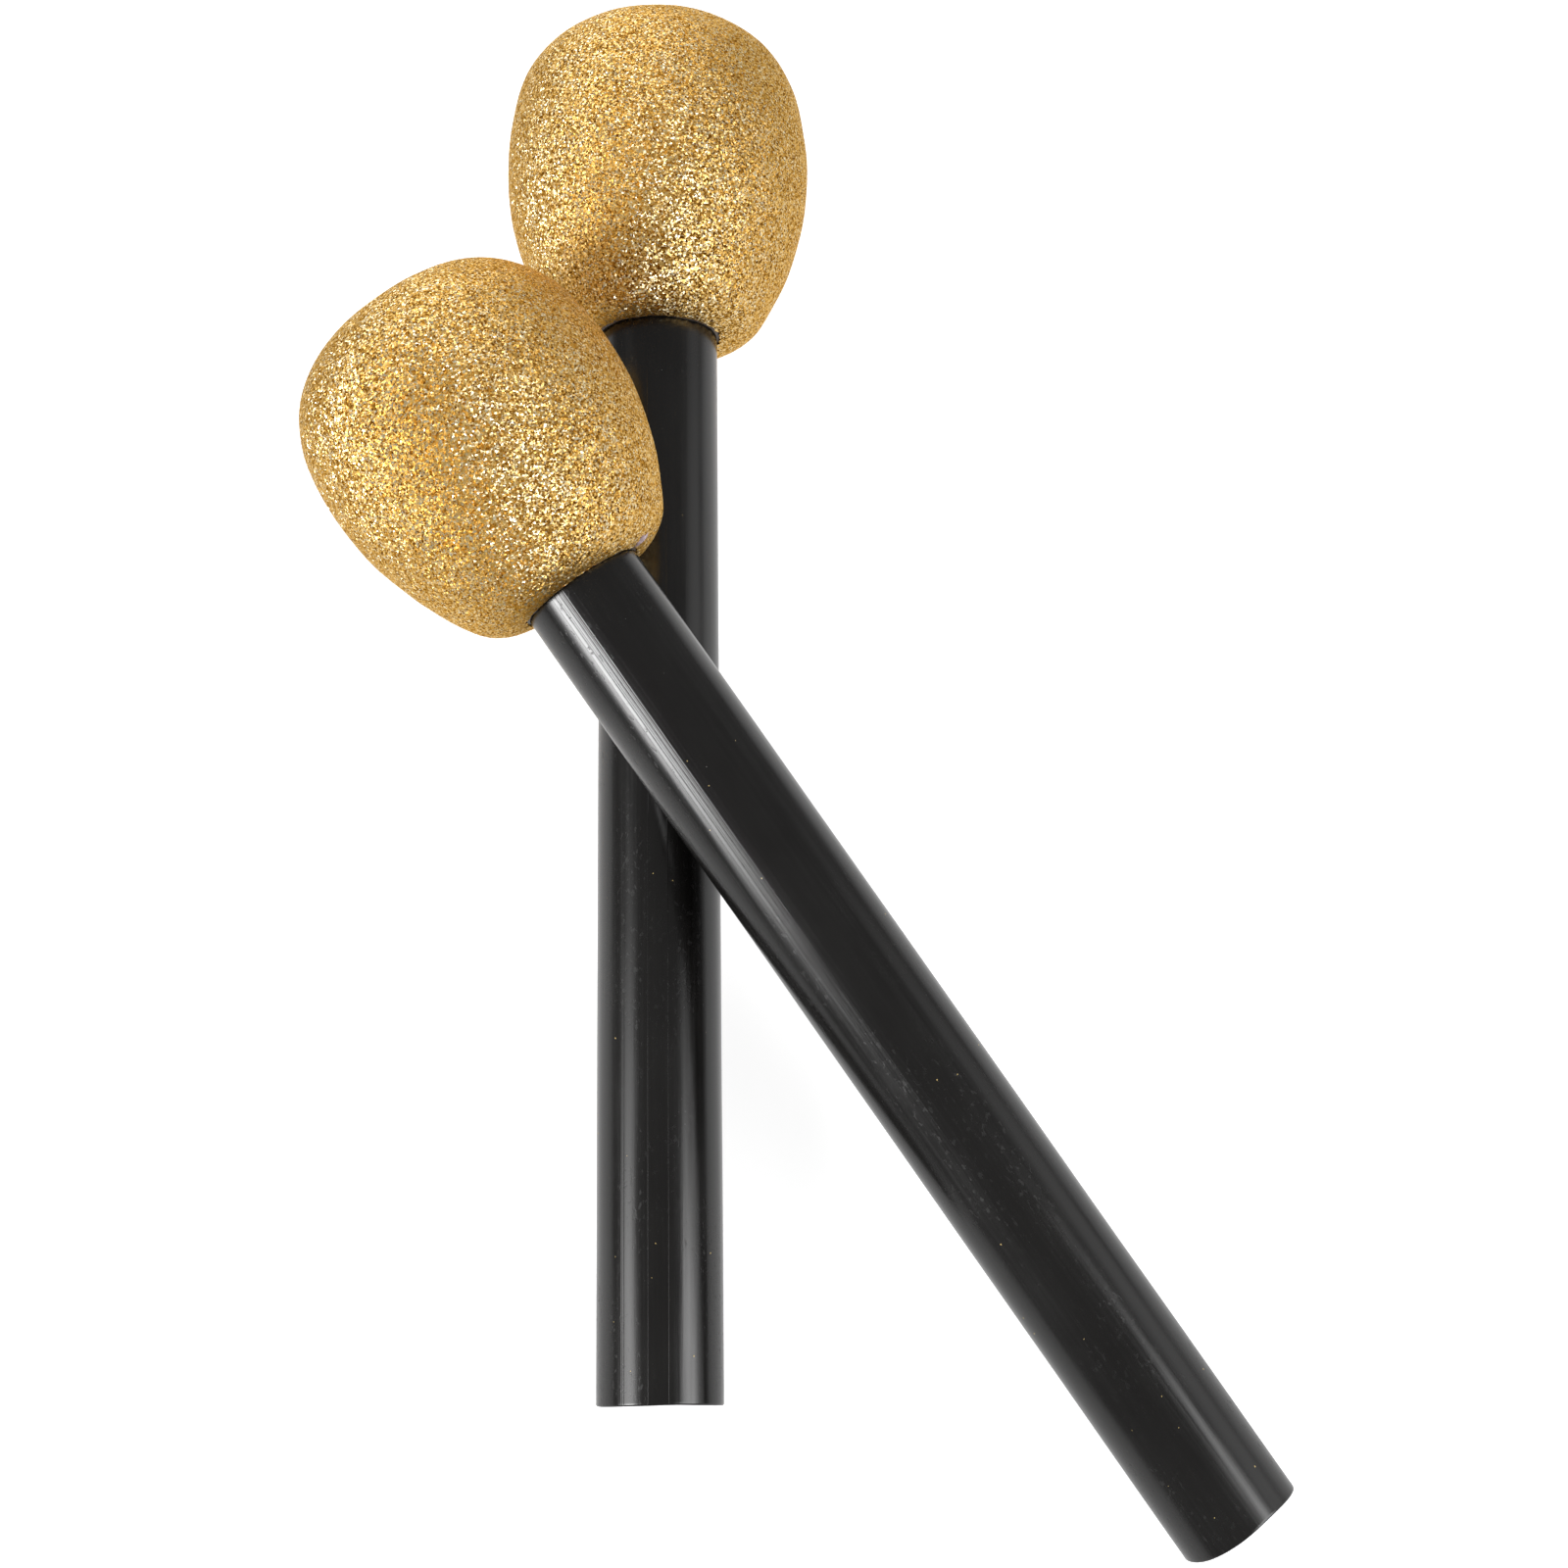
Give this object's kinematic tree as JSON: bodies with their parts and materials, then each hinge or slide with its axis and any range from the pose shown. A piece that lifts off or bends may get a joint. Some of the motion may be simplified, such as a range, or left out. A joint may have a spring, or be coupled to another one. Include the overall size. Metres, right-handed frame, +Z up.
{
  "type": "prop microphone pair",
  "caption": "Crossed prop microphones with egg-shaped, glitter-coated foam heads on plain hollow tube handles.",
  "frame": {"origin": "on the table, in the middle of the pair's bounding box", "axes": "+Z up from the table, +Y along the lower microphone towards its head, +X to the side where the upper microphone's cut end lies"},
  "size_m": [0.1677, 0.2843, 0.0824],
  "materials": {
    "handle_plastic": "satin",
    "foam": "matte",
    "glitter": "satin",
    "glue": "satin"
  },
  "bodies": {
    "lower_microphone": {"lower_handle_tube": "handle_plastic", "lower_foam_core": "foam", "lower_glitter_coat": "glitter", "lower_glue_ring": "glue"},
    "upper_microphone": {"upper_handle_tube": "handle_plastic", "upper_foam_core": "foam", "upper_glitter_coat": "glitter", "upper_glue_ring": "glue"}
  },
  "joints": [
    {"name": "upper_lift", "type": "slide", "parent": "lower_microphone", "child": "upper_microphone", "axis": [0, 0, 1], "range_m": [0, 0.12]}
  ]
}
